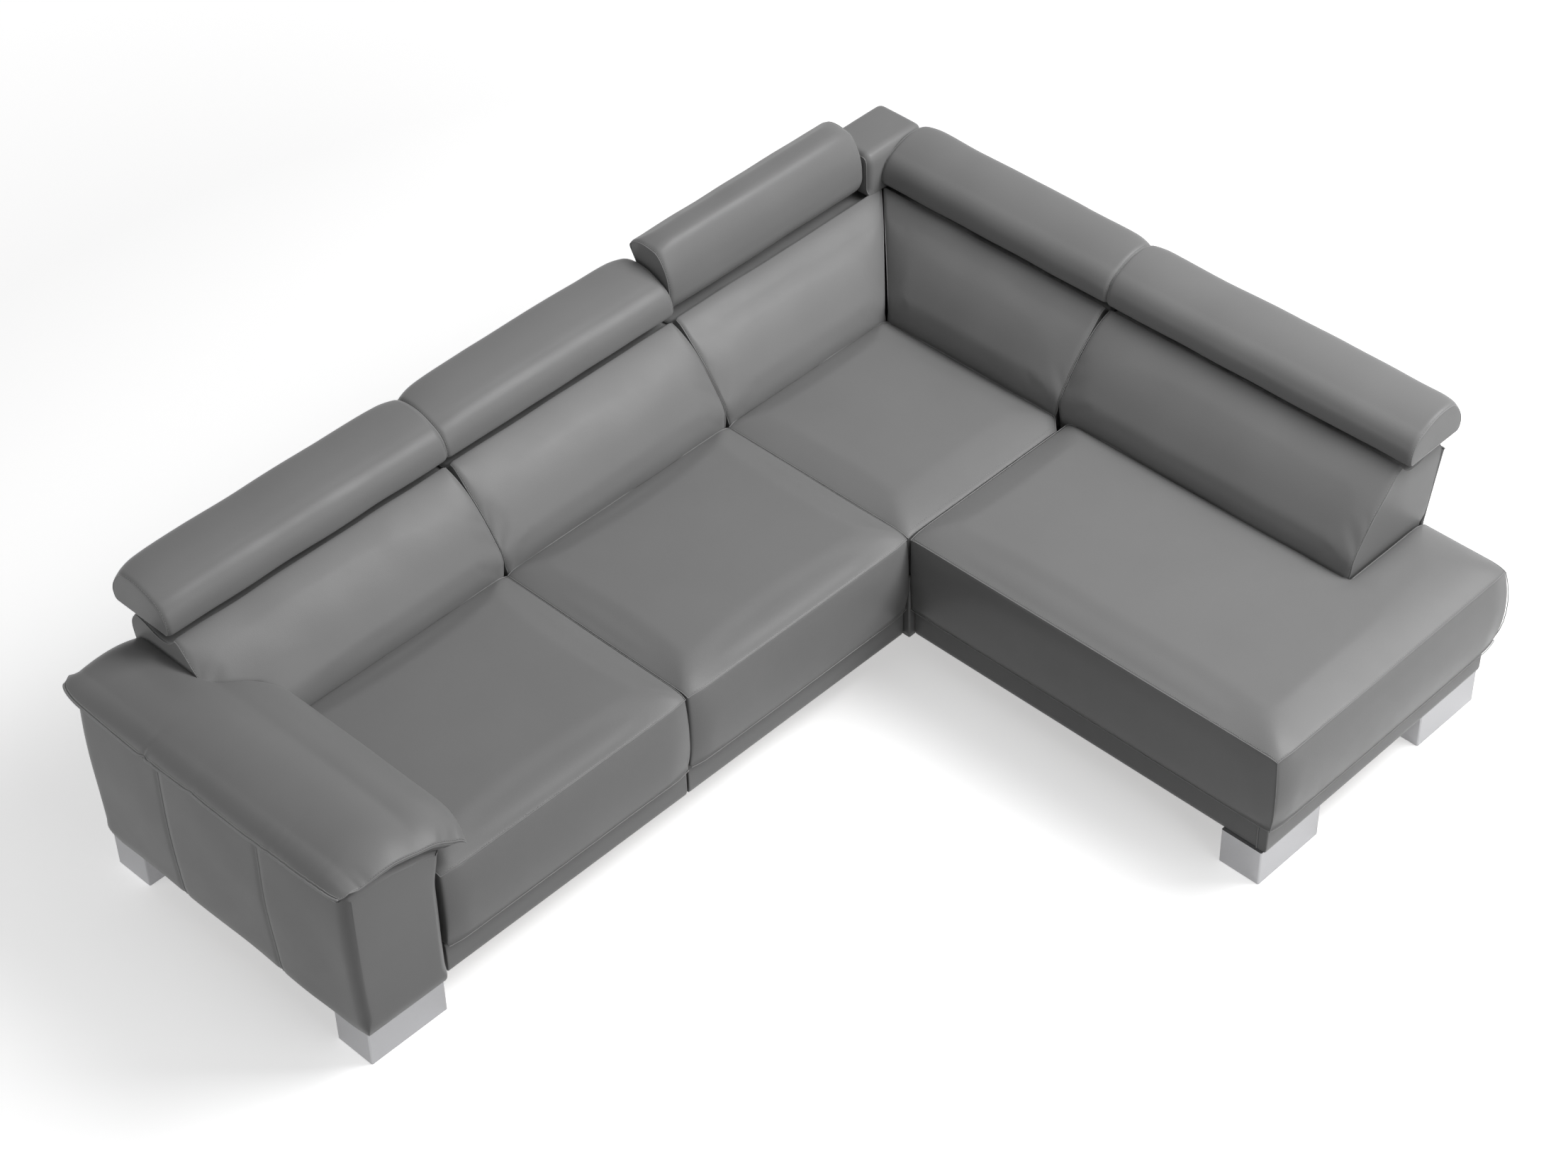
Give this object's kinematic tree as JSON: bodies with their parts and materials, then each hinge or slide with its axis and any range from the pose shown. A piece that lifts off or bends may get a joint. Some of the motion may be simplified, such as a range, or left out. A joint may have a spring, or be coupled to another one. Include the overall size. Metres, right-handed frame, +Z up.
{
  "type": "corner sofa",
  "caption": "L-shaped leather corner sofa with one padded arm, an open-ended lounger seat, bright block feet and folding headrests.",
  "frame": {"origin": "centre of the sofa's outline in plan, on the floor", "axes": "+X runs along the long side from the arm to the corner, +Y from the seats' front to their backs, +Z up"},
  "size_m": [2.7584, 2.112, 0.8721],
  "materials": {
    "leather_cushion": "smooth mid-grey leather, soft sheen",
    "leather_panel": "smooth mid-grey leather pulled tight",
    "foam": "cold foam in a thin fleece",
    "frame_wood": "bare plywood and softwood",
    "webbing": "woven elastic",
    "foot_metal": "satin bright metal",
    "hinge_steel": "black powder coat",
    "screw_steel": "zinc plated",
    "support_plastic": "black plastic"
  },
  "bodies": {
    "root": {"seat_cover_1": "leather_cushion", "seat_cover_2": "leather_cushion", "seat_cover_corner": "leather_cushion", "seat_cover_lounger": "leather_cushion", "back_cushion_1": "leather_cushion", "back_cushion_2": "leather_cushion", "back_cushion_3": "leather_cushion", "back_cushion_4": "leather_cushion", "back_cushion_5": "leather_cushion", "arm_pad": "leather_cushion", "corner_pad": "leather_cushion", "arm_cover": "leather_panel", "base_panel_1": "leather_panel", "base_panel_2": "leather_panel", "base_panel_lounger_front": "leather_panel", "base_panel_lounger_left": "leather_panel", "base_panel_lounger_right": "leather_panel", "rear_panel_long": "leather_panel", "rear_panel_short": "leather_panel", "seat_foam_1": "foam", "seat_foam_2": "foam", "seat_foam_corner": "foam", "seat_foam_lounger": "foam", "arm_frame": "frame_wood", "base_frame_corner": "frame_wood", "base_frame_long": "frame_wood", "base_frame_lounger": "frame_wood", "corner_post": "frame_wood", "back_frame_1": "frame_wood", "back_frame_2": "frame_wood", "back_frame_3": "frame_wood", "back_frame_4": "frame_wood", "back_frame_5": "frame_wood", "seat_webbing": "webbing", "feet_arm": "foot_metal", "feet_lounger": "foot_metal", "foot_corner": "foot_metal", "hinge_bracket_1": "hinge_steel", "hinge_bracket_2": "hinge_steel", "hinge_bracket_3": "hinge_steel", "hinge_bracket_4": "hinge_steel", "hinge_bracket_5": "hinge_steel", "module_connectors": "hinge_steel", "foot_screws": "screw_steel", "support_feet": "support_plastic"},
    "headrest_1": {"headrest_cushion_1": "leather_cushion", "headrest_board_1": "frame_wood", "hinge_arm_1": "hinge_steel"},
    "headrest_2": {"headrest_cushion_2": "leather_cushion", "headrest_board_2": "frame_wood", "hinge_arm_2": "hinge_steel"},
    "headrest_3": {"headrest_cushion_3": "leather_cushion", "headrest_board_3": "frame_wood", "hinge_arm_3": "hinge_steel"},
    "headrest_4": {"headrest_cushion_4": "leather_cushion", "headrest_board_4": "frame_wood", "hinge_arm_4": "hinge_steel"},
    "headrest_5": {"headrest_cushion_5": "leather_cushion", "headrest_board_5": "frame_wood", "hinge_arm_5": "hinge_steel"}
  },
  "joints": [
    {"name": "headrest_1_tilt", "type": "hinge", "parent": "root", "child": "headrest_1", "pos_m": [-0.75, 0.913, 0.733], "axis": [1, 0, 0], "range_deg": [0, 62]},
    {"name": "headrest_2_tilt", "type": "hinge", "parent": "root", "child": "headrest_2", "pos_m": [0.045, 0.913, 0.733], "axis": [1, 0, 0], "range_deg": [0, 62]},
    {"name": "headrest_3_tilt", "type": "hinge", "parent": "root", "child": "headrest_3", "pos_m": [0.77, 0.913, 0.733], "axis": [1, 0, 0], "range_deg": [-62, 0]},
    {"name": "headrest_4_tilt", "type": "hinge", "parent": "root", "child": "headrest_4", "pos_m": [1.236, 0.477, 0.733], "axis": [0, -1, 0], "range_deg": [0, 62]},
    {"name": "headrest_5_tilt", "type": "hinge", "parent": "root", "child": "headrest_5", "pos_m": [1.236, -0.365, 0.733], "axis": [0, -1, 0], "range_deg": [0, 62]}
  ]
}
